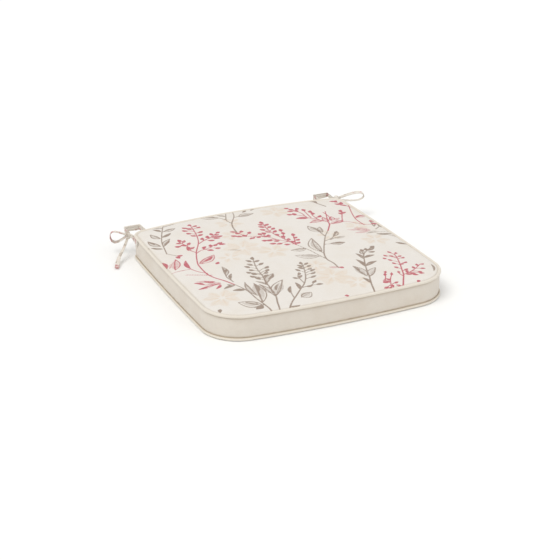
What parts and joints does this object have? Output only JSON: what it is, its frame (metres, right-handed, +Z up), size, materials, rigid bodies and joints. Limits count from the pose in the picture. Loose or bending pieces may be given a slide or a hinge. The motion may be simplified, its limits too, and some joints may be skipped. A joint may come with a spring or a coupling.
{
  "type": "chair seat pad",
  "caption": "Boxed and piped chair seat pad with a printed linen top, plain cream border, back zip and printed tie tapes bowed round the chair's back posts.",
  "frame": {"origin": "middle of the flat underside, where the pad rests on the chair's seat", "axes": "+Z up out of the underside, +Y towards the chair's back, +X along the front edge to the right seen from the front"},
  "size_m": [0.5753, 0.5147, 0.0554],
  "materials": {
    "printed_linen": "cream linen with a rose and taupe botanical print",
    "plain_cream": "plain cream weave",
    "piping_cream": "cream bias-cut weave",
    "piping_cord": "soft cotton cord",
    "foam": "pale open-cell foam",
    "wadding": "white fibre wadding",
    "zip_tape": "cream woven tape",
    "zip_metal": "nickel-coloured metal",
    "printed_tape": "folded and stitched printed cloth"
  },
  "bodies": {
    "pad": {"top_panel": "printed_linen", "base_panel": "plain_cream", "border_strip": "plain_cream", "back_border_upper": "plain_cream", "back_border_lower": "plain_cream", "top_piping_cover": "piping_cream", "base_piping_cover": "piping_cream", "top_piping_cord": "piping_cord", "base_piping_cord": "piping_cord", "foam_core": "foam", "top_wadding": "wadding", "base_wadding": "wadding", "zip_tape_upper": "zip_tape", "zip_tape_lower": "zip_tape", "zip_teeth_upper": "zip_metal", "zip_teeth_lower": "zip_metal", "zip_stop_open_end": "zip_metal", "zip_stop_closed_end": "zip_metal", "tie_left_outer_tape": "printed_tape", "tie_left_inner_tape": "printed_tape", "tie_left_knot": "printed_tape", "tie_left_loop": "printed_tape", "tie_left_tail": "printed_tape", "tie_right_outer_tape": "printed_tape", "tie_right_inner_tape": "printed_tape", "tie_right_knot": "printed_tape", "tie_right_loop": "printed_tape", "tie_right_tail": "printed_tape"},
    "zip_slider": {"zip_slider": "zip_metal"},
    "zip_pull": {"zip_pull": "zip_metal"}
  },
  "joints": [
    {"name": "zip_travel", "type": "hinge", "parent": "pad", "child": "zip_slider", "pos_m": [0, -1.0469, 0], "axis": [0, 0, 1], "range_deg": [0, 12.1]},
    {"name": "pull_swing", "type": "hinge", "parent": "zip_slider", "child": "zip_pull", "pos_m": [0.13814, 0.23387, 0.025], "axis": [0, 0, -1], "range_deg": [0, 170]}
  ]
}
